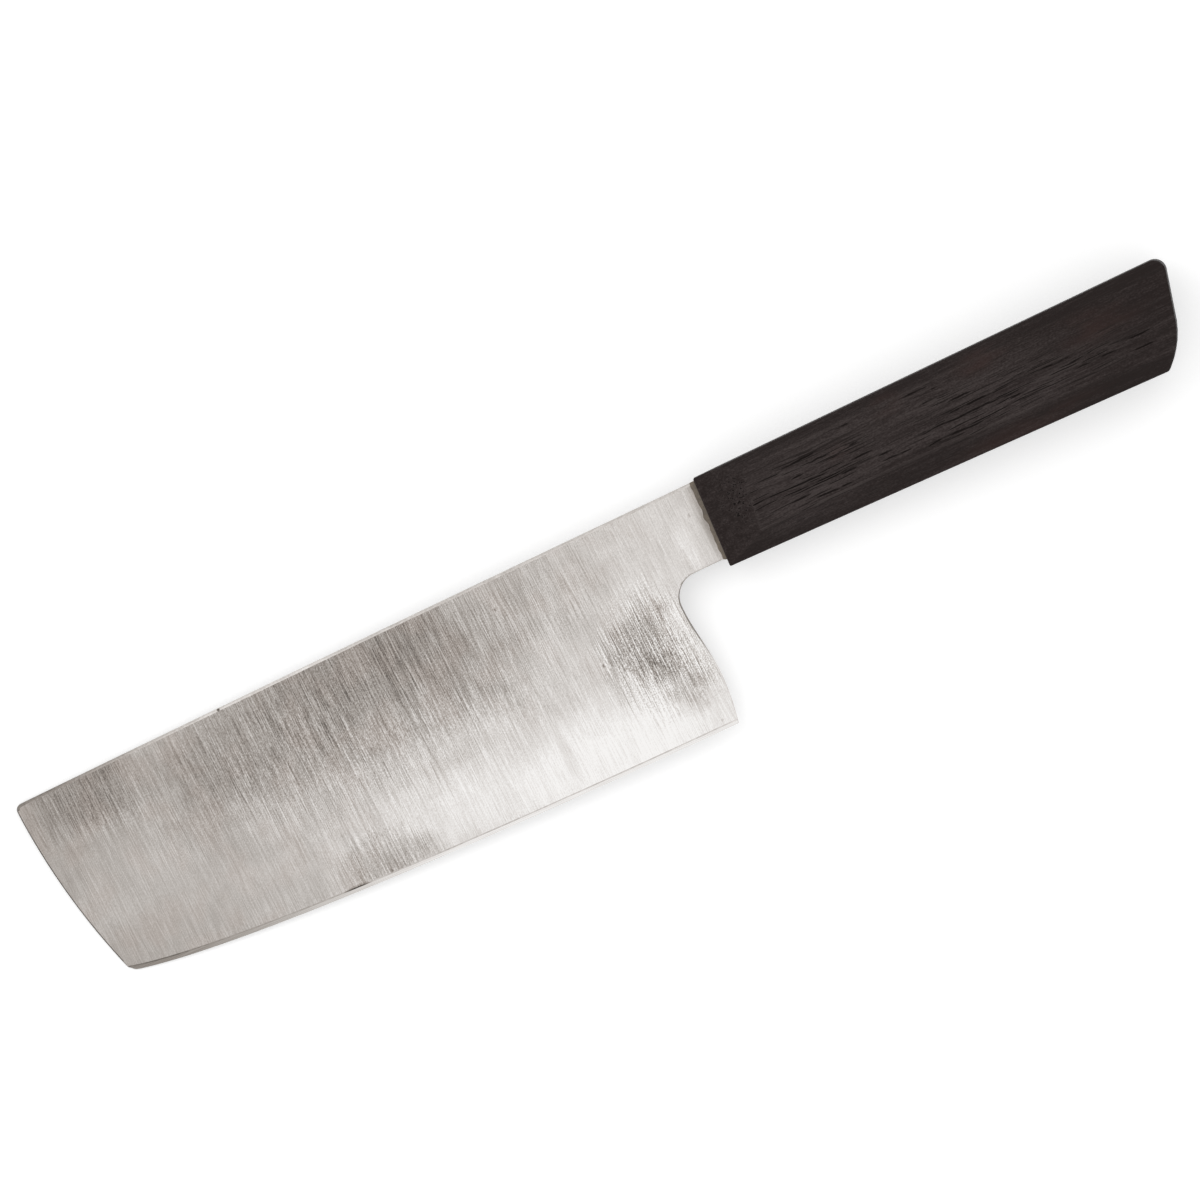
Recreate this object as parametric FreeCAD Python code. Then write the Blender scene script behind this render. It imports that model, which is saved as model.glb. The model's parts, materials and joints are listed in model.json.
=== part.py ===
import FreeCAD, Part
import math
import os

# Nakiri knife: a straight-spined vegetable blade bedded in a faceted wooden handle.
# Sizes are in millimetres. While it is built the knife lies with its mid-plane on Z = 0,
# its spine along Y = 0 and the handle's front at X = 0, tip towards -X, edge towards -Y.

# Blade outline, seen from the side
blade_length = 165.2          # tip to heel
heel_height = 56.9            # spine line down to the cutting edge at the heel
toe_height = 47.7             # spine line down to the toe corner
heel_to_handle = 15.3         # heel corner to the handle's front
spine_crown = 0.25            # the spine's slight arch over its chord
spine_drop = 0.3              # the spine's fall at the tip
tip_rake = 8.3                # how far the toe stands behind the tip
tip_arc_radius = 170.0        # bow of the tip's front edge
tip_corner_radius = 1.2
toe_corner_radius = 1.5
edge_heel_angle = 0.3         # rise of the cutting edge as it leaves the heel, degrees
edge_heel_run = 27.0          # how long the edge keeps that rise
edge_toe_angle = 15.4         # rise of the cutting edge at the toe, degrees
edge_toe_run = 28.0
heel_lean = 12.0              # lean of the heel's back above the corner, degrees
heel_run = 16.0
choil_run = 10.0              # straight fall below the choil arc
choil_radius = 6.0
choil_reach = 15.6            # deepest point of the choil to the handle's front
neck_height = 19.9

# Blade thickness
spine_thickness = 2.6         # at the handle's front
tip_thickness = 1.6           # of the flats, at the tip
grind_line = 20.0             # spine line down to the start of the convex grind
grind_start_angle = 0.7       # how steeply the grind leaves the flat, degrees
shoulder_thickness = 0.4      # just above the sharpened bevel
bevel_height = 0.9            # sharpened bevel, measured up from the edge
edge_land = 0.08              # blunt width left at the very edge

# Tang, hidden in the handle
tang_length = 85.0
tang_thickness = 2.4
tang_root_height = 12.0
tang_end_height = 7.0
tang_drop = 10.3              # spine line down to the tang's middle line

# Handle
handle_length = 124.6         # front to the sharp corner of the butt, along the top
handle_rise = 0.7             # the handle's top above the spine line
handle_front_height = 22.8
handle_butt_height = 26.1
handle_thickness = 18.0
front_lean = 2.3              # lean of the handle's front face, degrees
upper_chamfer = 3.0
lower_chamfer_front = 5.0
lower_chamfer_butt = 3.9
front_bevel_length = 10.0     # bevels that thin the handle's front, at its lower corner
front_web = 8.0               # thickness left at that corner
front_bevel_lean = 8.0        # lean of the bevel's rear line, degrees
butt_slant = 14.4             # lean of the butt, degrees
butt_flat_length = 15.4       # straight length of the butt below its upper corner
butt_top_radius = 2.9
butt_lower_radius = 21.2
butt_turn = 60.0              # angle the lower round sweeps, past the underside

# How the knife lies
lying_roll = 1.1              # lean of the knife towards its edge, degrees

# Bedding and bead
glue_gap = 0.25               # bedding on every side of the tang
glue_end_gap = 1.5            # bedding past the tang's end
bead_reach = 1.1              # bead along the neck
bead_rise = 0.8               # bead up the handle's front, beside the neck
bead_cap = 0.4                # bead past the neck's top and bottom
bead_lip = 0.1                # bead thickness at its thin lip

# Worked-out places
half_spine = spine_thickness / 2
half_handle = handle_thickness / 2
tip_x = -(heel_to_handle + blade_length)
toe_x = tip_x + tip_rake
front_slope = math.tan(math.radians(front_lean))
handle_top = handle_rise
handle_front_bottom = handle_rise - handle_front_height
handle_butt_bottom = handle_rise - handle_butt_height
clear = 40.0                  # overshoot of the cutting shapes past the stock


def vec(x, y, z=0.0):
    return FreeCAD.Vector(x, y, z)


def line(start, end):
    return Part.makeLine(start, end)


def bezier(poles):
    curve = Part.BezierCurve()
    curve.setPoles(poles)
    return curve


def slab(edges, low, high):
    face = Part.Face(Part.Wire(edges))
    face.translate(vec(0, 0, low))
    return face.extrude(vec(0, 0, high - low))


def polygon_face(points):
    return Part.Face(Part.makePolygon(points + points[:1]))


def skin(first, second):
    # Flat-sided solid between two loops with the same number of corners.
    count = len(first)
    faces = [polygon_face(first), polygon_face(second)]
    for i in range(count):
        j = (i + 1) % count
        faces.append(polygon_face([first[i], first[j], second[j], second[i]]))
    shell = Part.Shell(faces)
    shell.sewShape()
    solid = Part.Solid(shell)
    if solid.Volume < 0:
        solid.reverse()
    return solid


def mirrored(shape):
    return shape.mirror(vec(0, 0, 0), vec(0, 0, 1))


def front_x(y):
    # The handle's front face leans, so its place along the knife depends on the height.
    return y * front_slope


def flat_half(x):
    # Half thickness of the blade's flats, thinning evenly from handle to tip.
    return half_spine + (tip_thickness - spine_thickness) / 2 * x / tip_x


def tip_arc_centre():
    # Middle of the circle that the tip's front edge is part of.
    chord = vec(toe_x, -toe_height) - vec(tip_x, -spine_drop)
    inward = vec(-chord.y, chord.x)
    inward.normalize()
    reach = math.sqrt(tip_arc_radius ** 2 - (chord.Length / 2) ** 2)
    return vec(tip_x, -spine_drop) + chord * 0.5 + inward * reach


def tip_edge(y):
    # The point of the tip's front edge at a given height.
    centre = tip_arc_centre()
    return vec(centre.x - math.sqrt(tip_arc_radius ** 2 - (y - centre.y) ** 2), y)


def edge_curve():
    heel = vec(-heel_to_handle, -heel_height)
    toe = vec(toe_x, -toe_height)
    heel_rise = edge_heel_run * math.tan(math.radians(edge_heel_angle))
    toe_fall = edge_toe_run * math.tan(math.radians(edge_toe_angle))
    return bezier([heel, heel + vec(-edge_heel_run, heel_rise),
                   toe + vec(edge_toe_run, -toe_fall), toe])


def heel_back():
    heel = vec(-heel_to_handle, -heel_height)
    lean = math.radians(heel_lean)
    choil = vec(-choil_reach, -neck_height - choil_radius)
    return bezier([heel, heel + vec(math.sin(lean), math.cos(lean)) * heel_run,
                   choil - vec(0, choil_run), choil])


def blade_outline():
    root = vec(0, 0)
    tip = vec(tip_x, -spine_drop)
    toe = vec(toe_x, -toe_height)
    choil = vec(-choil_reach, -neck_height - choil_radius)
    neck = vec(-choil_reach + choil_radius, -neck_height)
    shoulder = vec(front_x(-neck_height), -neck_height)
    crown = vec(tip_x / 2, spine_crown - spine_drop / 2)
    turn = choil_radius * (1 - math.sqrt(0.5))
    choil_middle = vec(choil.x + turn, neck.y - turn)
    return [Part.Arc(root, crown, tip).toShape(),
            Part.Arc(tip, tip_edge(-toe_height / 2), toe).toShape(),
            edge_curve().toShape().reversed(),
            heel_back().toShape(),
            Part.Arc(choil, choil_middle, neck).toShape(),
            line(neck, shoulder),
            line(shoulder, root)]


def corner_edge(solid, x, y):
    # The edge that runs through the thickness at one corner of an outline.
    for edge in solid.Edges:
        ends = [v.Point for v in edge.Vertexes]
        if all(abs(p.x - x) < 0.01 and abs(p.y - y) < 0.01 for p in ends):
            return edge


def flat_tool():
    # Stock to take off above the upper flat, out past both ends of the blade.
    ends = []
    for x in (tip_x - clear, clear):
        low = flat_half(x)
        ends.append([vec(x, -clear * 2, low), vec(x, clear, low),
                     vec(x, clear, clear), vec(x, -clear * 2, clear)])
    return skin(ends[0], ends[1])


def grind_section(x, edge_y):
    # One cross-section of the stock to take off below the grind line: the convex
    # grind, drawn as an arc that leaves the flat at its start angle, then the bevel.
    start = vec(x, -grind_line, flat_half(x))
    shoulder = vec(x, edge_y + bevel_height, shoulder_thickness / 2)
    chord = shoulder - start
    fall = math.atan2(-chord.z, -chord.y)
    sweep = 2 * (fall - math.radians(grind_start_angle))
    radius = chord.Length / (2 * math.sin(sweep / 2))
    tilt = math.radians(grind_start_angle)
    centre = start + vec(0, math.sin(tilt), -math.cos(tilt)) * radius

    def on_arc(angle):
        return centre + vec(0, -math.sin(angle), math.cos(angle)) * radius

    top = on_arc(0.0)
    middle = on_arc((tilt + sweep) / 2)
    bevel = vec(0, -bevel_height, (edge_land - shoulder_thickness) / 2)
    below = shoulder + bevel * 3
    outer = [vec(x, below.y, clear), vec(x, top.y, clear)]
    return Part.Wire([Part.Arc(top, middle, shoulder).toShape(), line(shoulder, below),
                      line(below, outer[0]), line(outer[0], outer[1]), line(outer[1], top)])


def grind_tool():
    curve = edge_curve()
    stations = [curve.value(i / 6.0) for i in range(7)]
    before = stations[0] - curve.tangent(0.0)[0] * clear
    after = stations[-1] + curve.tangent(1.0)[0] * clear / 4
    points = [before] + stations + [after]
    return Part.makeLoft([grind_section(p.x, p.y) for p in points], True, False)


def tang_outline(gap, end_gap):
    half_root = tang_root_height / 2 + gap
    half_end = tang_end_height / 2 + gap
    end = tang_length + end_gap
    root_top = -tang_drop + half_root
    root_low = -tang_drop - half_root
    points = [vec(front_x(root_top), root_top), vec(end, -tang_drop + half_end),
              vec(end, -tang_drop - half_end), vec(front_x(root_low), root_low)]
    return [line(points[i], points[(i + 1) % 4]) for i in range(4)]


def tang():
    return slab(tang_outline(0.0, 0.0), -tang_thickness / 2, tang_thickness / 2)


def mortise():
    half = tang_thickness / 2 + glue_gap
    return slab(tang_outline(glue_gap, glue_end_gap), -half, half)


def blade():
    stock = slab(blade_outline(), -half_spine * 2, half_spine * 2)
    stock = stock.makeFillet(tip_corner_radius, [corner_edge(stock, tip_x, -spine_drop)])
    stock = stock.makeFillet(toe_corner_radius, [corner_edge(stock, toe_x, -toe_height)])
    for tool in (flat_tool(), grind_tool()):
        stock = stock.cut(tool).cut(mirrored(tool))
    return stock.fuse(tang()).removeSplitter().Solids[0]


def handle_loop(x, bottom, lower_chamfer):
    # One eight-sided cross-section of the handle's stock.
    corners = [(handle_top, half_handle - upper_chamfer),
               (handle_top - upper_chamfer, half_handle),
               (bottom + lower_chamfer, half_handle),
               (bottom, half_handle - lower_chamfer)]
    corners += [(y, -z) for y, z in reversed(corners)]
    return [vec(x + front_x(y), y, z) for y, z in corners]


def front_bevel_tool():
    # Wedge that thins the upper broad face towards the handle's front.
    start = front_x(handle_front_bottom)
    rise = (half_handle - front_web / 2) / front_bevel_length
    before = start - clear / 4
    after = start + front_bevel_length + clear / 4
    lean = math.radians(front_bevel_lean)
    along = vec(math.sin(lean), math.cos(lean))
    low = handle_front_bottom
    points = [vec(before, low, front_web / 2 - rise * clear / 4),
              vec(after, low, half_handle + rise * clear / 4),
              vec(before, low, half_handle + rise * clear / 4)]
    wedge = polygon_face(points)
    wedge.translate(along * -clear)
    return wedge.extrude(along * clear * 3)


def butt_tool():
    # Stock to take off behind the butt: its slanted flat and the large lower round.
    slant = math.radians(butt_slant)
    down = vec(-math.sin(slant), -math.cos(slant))
    inward = vec(-math.cos(slant), math.sin(slant))
    corner = vec(handle_length, handle_top)
    above = corner - down * clear
    bend = corner + down * butt_flat_length
    centre = bend + inward * butt_lower_radius

    def on_round(degrees):
        turn = math.radians(degrees)
        return centre + (down * math.sin(turn) - inward * math.cos(turn)) * butt_lower_radius

    last = on_round(butt_turn)
    far = handle_length + clear
    return slab([line(above, bend),
                 Part.Arc(bend, on_round(butt_turn / 2), last).toShape(),
                 line(last, vec(far, last.y)),
                 line(vec(far, last.y), vec(far, above.y)),
                 line(vec(far, above.y), above)], -clear, clear)


def handle():
    grow = (handle_butt_bottom - handle_front_bottom) / handle_length
    past = handle_length + clear / 4
    past_bottom = handle_front_bottom + grow * past
    shrink = (lower_chamfer_butt - lower_chamfer_front) / handle_length
    past_chamfer = lower_chamfer_front + shrink * past
    stock = skin(handle_loop(0, handle_front_bottom, lower_chamfer_front),
                 handle_loop(past, past_bottom, past_chamfer))
    bevel = front_bevel_tool()
    stock = stock.cut(bevel).cut(mirrored(bevel)).cut(butt_tool())
    stock = stock.makeFillet(butt_top_radius, [corner_edge(stock, handle_length, handle_top)])
    return stock.cut(mortise()).Solids[0]


def mouth_bead(steel):
    # Bead of filler round the neck, from the handle's front down to a thin lip.
    loops = []
    for x, cap, rise in ((0, bead_cap, bead_rise), (-bead_reach, bead_lip, bead_lip)):
        half = half_spine + rise
        corners = [(cap, half), (cap, -half), (-neck_height - cap, -half),
                   (-neck_height - cap, half)]
        loops.append([vec(x + front_x(y), y, z) for y, z in corners])
    return skin(loops[0], loops[1]).cut(steel).Solids[0]


def tang_bedding(steel):
    return mortise().cut(steel).Solids[0]


def lying_turn():
    # The knife lies on the tip's front edge and on one corner of the handle's broad
    # face, leaning towards its edge until its weight is over the line between them.
    tip = tip_edge(-grind_line)
    tip = vec(tip.x, tip.y, -flat_half(tip.x))
    back = front_bevel_length + lower_chamfer_front * math.tan(math.radians(front_bevel_lean))
    corner = vec(front_x(handle_front_bottom) + back,
                 handle_front_bottom + lower_chamfer_front, -half_handle)
    roll = math.radians(lying_roll)
    up = (corner - tip).cross(vec(0, math.cos(roll), -math.sin(roll)))
    up.normalize()
    along = vec(1, 0, 0)
    along = along - up * along.dot(up)
    along.normalize()
    return FreeCAD.Rotation(along, up.cross(along), up, "ZXY").inverted()


def laid_down(pieces):
    # Turn every piece alike, then set the whole on Z = 0 with its middle over the origin.
    turn = FreeCAD.Placement(vec(0, 0, 0), lying_turn())
    placed = {}
    for name in pieces:
        placed[name] = pieces[name].transformed(turn.toMatrix())
    box = Part.makeCompound(list(placed.values())).optimalBoundingBox(False)
    middle = vec((box.XMin + box.XMax) / 2, (box.YMin + box.YMax) / 2, box.ZMin)
    for name in placed:
        placed[name].translate(middle * -1)
    return placed


def main():
    os.makedirs("parts", exist_ok=True)
    steel = blade()
    pieces = {"blade": steel,
              "handle": handle(),
              "tang_bedding": tang_bedding(steel),
              "mouth_bead": mouth_bead(steel)}
    placed = laid_down(pieces)
    for name in placed:
        placed[name].exportStep("parts/" + name + ".step")
        print(name, placed[name].isValid(), round(placed[name].Volume, 2))


main()
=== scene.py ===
import bmesh
import bpy
import json
import math
from mathutils import Matrix, Vector, noise
from mathutils.geometry import interpolate_bezier


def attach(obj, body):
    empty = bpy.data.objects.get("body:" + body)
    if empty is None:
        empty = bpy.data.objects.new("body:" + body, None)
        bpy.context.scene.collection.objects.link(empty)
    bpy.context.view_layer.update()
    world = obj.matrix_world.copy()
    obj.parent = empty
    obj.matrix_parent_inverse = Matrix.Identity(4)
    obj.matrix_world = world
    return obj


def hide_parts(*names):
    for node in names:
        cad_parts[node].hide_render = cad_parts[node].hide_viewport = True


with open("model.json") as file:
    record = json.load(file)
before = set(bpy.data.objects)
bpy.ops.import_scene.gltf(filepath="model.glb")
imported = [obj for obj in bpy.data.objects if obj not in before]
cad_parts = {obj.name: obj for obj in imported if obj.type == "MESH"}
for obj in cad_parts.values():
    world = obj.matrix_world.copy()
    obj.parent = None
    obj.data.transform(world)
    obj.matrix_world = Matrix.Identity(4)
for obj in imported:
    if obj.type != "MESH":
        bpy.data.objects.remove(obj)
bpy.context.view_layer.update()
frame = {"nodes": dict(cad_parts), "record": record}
mm = 0.001
snap = 1e-5  # millimetres within which a cut takes a corner for its own
scene = bpy.context.scene
scene.view_settings.view_transform = "Standard"

# the knife lies tilted, so its pieces are shaped on their own level axes and then laid down:
# x from the handle's front to the butt, y from the edge to the spine, z out of the upper side


def toPiece(bm, name, *materials):
    bmesh.ops.transform(bm, matrix=layDown @ Matrix.Scale(mm, 4), verts=bm.verts[:])
    mesh = bpy.data.meshes.new(name)
    bm.to_mesh(mesh)
    bm.free()
    for material in materials:
        mesh.materials.append(material)
    piece = bpy.data.objects.new(name, mesh)
    scene.collection.objects.link(piece)
    return piece


def markSharp(bm, degrees=40):
    for face in bm.faces:
        face.smooth = True
    for edge in bm.edges:
        if len(edge.link_faces) == 2 and edge.calc_face_angle(0) > math.radians(degrees):
            edge.smooth = False


# shader helpers


def newMaterial(name):
    material = bpy.data.materials.new(name)
    material.use_nodes = True
    return material, material.node_tree, material.node_tree.nodes["Principled BSDF"]


def put(tree, kind, sockets=None, **settings):
    node = tree.nodes.new("ShaderNode" + kind)
    for key, value in settings.items():
        setattr(node, key, value)
    for key, value in (sockets or {}).items():
        if isinstance(value, bpy.types.NodeSocket):
            tree.links.new(value, node.inputs[key])
        else:
            node.inputs[key].default_value = value
    return node


def calc(tree, operation, a, b=0.0):
    return put(tree, "Math", {0: a, 1: b}, operation=operation).outputs[0]


def fit(tree, value, low, high, toLow=0.0, toHigh=1.0, curve="SMOOTHSTEP"):
    sockets = {"Value": value, "From Min": low, "From Max": high, "To Min": toLow, "To Max": toHigh}
    return put(tree, "MapRange", sockets, interpolation_type=curve).outputs[0]


def knifeCoords(tree):
    # Object coordinates turned to the knife's own axes, in millimetres
    coords = put(tree, "TexCoord").outputs["Object"]
    sockets = {"Vector": coords, "Location": knifeOrigin, "Rotation": layDown.to_euler(),
               "Scale": (mm, mm, mm)}
    return put(tree, "Mapping", sockets, vector_type="TEXTURE").outputs[0]


def stretched(tree, coords, size, detail=2.0, turn=0.0, rough=0.5):
    # noise whose grains have the given size along each axis, in millimetres
    sockets = {"Vector": coords, "Scale": size, "Rotation": (0, 0, math.radians(turn))}
    place = put(tree, "Mapping", sockets, vector_type="TEXTURE").outputs[0]
    return put(tree, "TexNoise", {"Vector": place, "Scale": 1.0, "Detail": detail, "Roughness": rough})


def ramp(tree, value, stops):
    node = put(tree, "ValToRGB", {"Fac": value})
    while len(node.color_ramp.elements) < len(stops):
        node.color_ramp.elements.new(0.5)
    for element, (place, colour) in zip(node.color_ramp.elements, stops):
        element.position = place
        element.color = (*colour, 1)
    return node.outputs["Color"]


def spots(tree, coords, places, inner=0.75):
    # sum of soft round places, each given by its middle, its reach and its amount; with no
    # third number they go right through
    added = 0.0
    for middle, reach, amount in places:
        sockets = {"Vector": coords, "Location": (*middle, 0)[:3], "Scale": (*reach, 60)[:3]}
        spot = put(tree, "Mapping", sockets, vector_type="TEXTURE").outputs[0]
        spot = put(tree, "TexGradient", {"Vector": spot}, gradient_type="SPHERICAL").outputs["Fac"]
        spot = fit(tree, spot, 0.0, inner)
        added = put(tree, "Math", {0: spot, 1: amount, 2: added}, operation="MULTIPLY_ADD").outputs[0]
    return added


def needles(tree, coords, size, turn=0.0, start=(0, 0, 0)):
    # straight needle-shaped cells, each of its own tone
    sockets = {"Vector": coords, "Scale": size, "Rotation": (0, 0, math.radians(turn)), "Location": start}
    place = put(tree, "Mapping", sockets, vector_type="TEXTURE").outputs[0]
    return put(tree, "TexVoronoi", {"Vector": place, "Scale": 1.0, "Randomness": 1.0})


def swing(tree, value, amount):
    # noise turned into a swing either side of zero
    return calc(tree, "MULTIPLY", calc(tree, "SUBTRACT", value, 0.5), amount)


def shifted(tree, coords, noiseNode, amount):
    sockets = {0: noiseNode.outputs["Color"], 1: (0.5, 0.5, 0.5)}
    sway = put(tree, "VectorMath", sockets, operation="SUBTRACT").outputs[0]
    return put(tree, "VectorMath", {0: sway, 1: amount, 2: coords}, operation="MULTIPLY_ADD").outputs[0]


def total(tree, *values):
    added = values[0]
    for value in values[1:]:
        added = calc(tree, "ADD", added, value)
    return added


def relief(tree, shader, height, strength, depth):
    bump = put(tree, "Bump", {"Height": height, "Strength": strength, "Distance": depth * mm})
    tree.links.new(bump.outputs[0], shader.inputs["Normal"])


# handle: a planed block of dark wood; its front, top and sides give the knife's axes
handleSpec = {
    "length": 124.6,         # front to the sharp butt corner, along the top
    "rise": 0.7,             # top of the handle above the spine
    "frontHeight": 22.8,
    "buttHeight": 26.1,
    "thickness": 18.0,
    "frontLean": 2.3,        # degrees
    "upperChamfer": 3.0,
    "lowerChamferFront": 5.0,
    "lowerChamferButt": 3.9,
    "bevelLength": 10.0,     # the bevels that thin the front
    "bevelWeb": 8.0,
    "bevelLean": 8.0,
    "buttSlant": 14.4,
    "buttFlat": 15.4,
    "buttTopRound": 2.9,
    "buttLowerRound": 21.2,
    "buttTurn": 60.0,
    "edgeEase": 0.36,        # worn edge between two facets
    "easeFrom": 20,          # degrees between facets that are eased
    "easeSteps": 3,
    "cornerMerge": 0.35,
    "edgeWearAndHighlight": (1.0, 0.25),   # pale edges, partly wear and partly painted highlight: on the lower edges of the sides, and on the others
    "lowerEdgePast": (-14, 7),  # below this height and past this side, an edge is a lower one
    "facetBow": 1.15,        # the lower facets widen by this towards their middle
    "facetSpan": (8, 118),
    "facetLengths": 10,      # the bow is cut into this many
    "facetBelow": -15,       # height under which an edge is theirs
    "slotHeights": (12.5, 7.5),  # of the tang's slot, at its mouth and at its end
    "slotDrop": 10.3,        # spine down to the slot's middle
    "slotDepth": 86.5,
    "slotWidth": 2.9,
}


def knifeAxes():
    mounts = {m["name"]: m for m in frame["record"]["mounts"]}
    top, low = mounts["handle_flat_up"], mounts["handle_flat_down"]
    zAxis = Vector(top["axis"]).normalized()
    xAxis = Vector((zAxis.z, 0, -zAxis.x)).normalized()
    turn = Matrix((xAxis, zAxis.cross(xAxis), zAxis))
    level = (turn @ (Vector(top["pos_m"]) + Vector(low["pos_m"])) / 2).z
    wood = [turn @ v.co for v in frame["nodes"]["handle"].data.vertices]
    frontLow = math.tan(math.radians(handleSpec["frontLean"]))
    frontLow *= (handleSpec["frontHeight"] - handleSpec["rise"]) * mm
    start = Vector((min(p.x for p in wood) + frontLow,
                    max(p.y for p in wood) - handleSpec["rise"] * mm, level))
    return Matrix.Translation(turn.inverted() @ start) @ turn.inverted().to_4x4()


layDown = knifeAxes()
knifeOrigin = layDown.to_translation()
print("knife axes found, handle front at", [round(c, 4) for c in knifeOrigin])


def frontX(y):
    return y * math.tan(math.radians(handleSpec["frontLean"]))


# wood: very dark, with long open pores along the handle and redder places
woodSpec = {
    "tones": [
        (0.38, (0.0205, 0.0152, 0.0142)),
        (0.50, (0.0334, 0.0258, 0.0246)),
        (0.62, (0.0540, 0.0436, 0.0418)),
    ],
    "level": 0.5,
    "red": (0.0480, 0.0270, 0.0235),
    "pore": (0.0060, 0.0042, 0.0038),
    "paleWearAndHighlight": (0.0720, 0.0600, 0.0570),  # painted highlight beside a pore, and edges pale partly from wear and partly with painted highlight
    # size of each kind of figure along the handle, up it and through it
    "size": {
        "bend": (22, 7, 7),
        "fibre": (3.6, 0.30, 0.30),
        "band": (40, 1.6, 1.6),
        "patch": (16, 5, 5),
        "speck": (0.6, 0.3, 0.3),
        "dash": (6, 0.8, 0.8),
        "sway": (7, 7, 7),
        "gap": (4.0, 2.0, 2.0),
    },
    "contrast": {"fibre": 0.33, "band": 0.33, "speck": 0.38},
    "bend": (0, 2.0, 0.6),             # how far the grain bends
    "sheen": 0.04,
    "roughness": (0.45, 0.74),
    "fibreRelief": 0.25,
    "relief": (0.8, 0.15),
    # range of the noise, or of the length, over which each fades, and how far
    "redPatches": (0.35, 0.65),
    "paleEdgePatches": (0.3, 0.7, 0.2, 0.7),
    "paleEdgeFades": (45, 105, 1.0, 0.15),
    "dashes": (0.36, 0.50, 0.15, 1.0),
    "gaps": (0.34, 0.54, 0.25, 1.0),
    "few": (0.0, 1.0, 0.35, 0.9),
    # middle, reach and strength of the redder places
    "redPlaces": [
        ((49, -3.3), (6, 4), 0.4),
        ((75, -3.3), (11, 3.5), 0.45),
        ((103, -7), (18, 6), 0.4),
        ((35, -9), (5, 4), 0.35),
        ((79, -22.5), (34, 3.0), 0.3),
    ],
    # the longest pores: where each starts and ends along the handle, and its height
    "longPores": [
        (17, 40, -16.3), (49, 75, -16.3), (18, 25, -14.7), (42, 52, -15.1),
        (76, 83, -14.6), (92, 107, -15.0), (32, 38, -13.5), (42, 47, -13.4),
        (49, 80, -13.2), (105, 116, -13.8), (20, 31, -11.6), (34, 43, -11.6),
        (52, 81, -11.4), (85, 95, -11.6), (21, 25, -9.5), (62, 70, -9.0),
        (26, 33, -7.9), (37, 40, -8.1), (18, 32, -6.1), (55, 67, -6.8),
        (55, 63, -4.6), (53, 61, -3.4), (36, 40, -3.4), (107, 116, -16.8),
    ],
    "longWidth": 0.27,
    "longStrength": 0.9,
    "longSway": (0, 1.2, 0),
    # the smaller ones: length, spacing, width and start
    "crowded": (50.0, 0.56, 0.27, (3.0, 0.7, 0.2)),
    "scattered": (16.0, 0.52, 0.25, (4.1, 2.3, 1.7)),
    # how strongly the painted highlight round the smaller pores shows
    "poreHighlightShows": 0.4,
    # where the smaller ones crowd
    "porePlaces": [
        ((26, -11), (26, 11), 1.0),
        ((76, -14), (38, 9), 1.0),
        ((58, -6), (16, 4), 0.8),
        ((104, -15), (16, 7), 0.4),
        ((8, -8), (7, 8), 1.2),
    ],
    # darker at the rear, painted shade on the tilted bevels at the front end, and a little lighter on the
    # forward part
    "shadeAndTone": [
        ((118, -12), (50, 40), -0.07),
        ((32, -10), (30, 14), 0.03),
        ((2, -12), (14, 40), -0.06),
    ],
    # painted shade: the chamfers lean away from the light overhead
    "chamferShade": -0.07,
}


def pores(tree, coords, length, spacing, width, start):
    # dark slits, and the painted highlight round each
    cell = needles(tree, coords, (length, spacing, spacing), start=start).outputs["Distance"]
    slit = fit(tree, cell, width * 0.85, width * 1.1, 1.0, 0.0)
    return slit, fit(tree, cell, width * 1.2, width * 2.0, 1.0, 0.0)


def poreMarks(tree, coords, grain):
    # every slit, and the painted highlight round the smaller pores
    spec = woodSpec
    size = spec["size"]
    dash = fit(tree, stretched(tree, grain, size["dash"]).outputs["Fac"], *spec["dashes"])
    crowd = calc(tree, "MINIMUM", spots(tree, grain, spec["porePlaces"]), 1.0)
    few = calc(tree, "MULTIPLY", dash, fit(tree, crowd, *spec["few"]))
    crowd = calc(tree, "MULTIPLY", crowd, dash)
    crowded = pores(tree, grain, *spec["crowded"])
    scattered = pores(tree, grain, *spec["scattered"])
    slit, lip = [calc(tree, "MAXIMUM", calc(tree, "MULTIPLY", many, crowd),
                      calc(tree, "MULTIPLY", odd, few)) for many, odd in zip(crowded, scattered)]
    sway = stretched(tree, coords, size["sway"], detail=3.0)
    placed = [(((a + b) / 2, y), ((b - a) / 2, spec["longWidth"]), spec["longStrength"])
              for a, b, y in spec["longPores"]]
    placed = spots(tree, shifted(tree, coords, sway, spec["longSway"]), placed, 0.45)
    broken = fit(tree, stretched(tree, coords, size["gap"]).outputs["Fac"], *spec["gaps"])
    placed = calc(tree, "MULTIPLY", placed, broken)
    return calc(tree, "MINIMUM", calc(tree, "MAXIMUM", slit, placed), 1.0), lip


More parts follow.
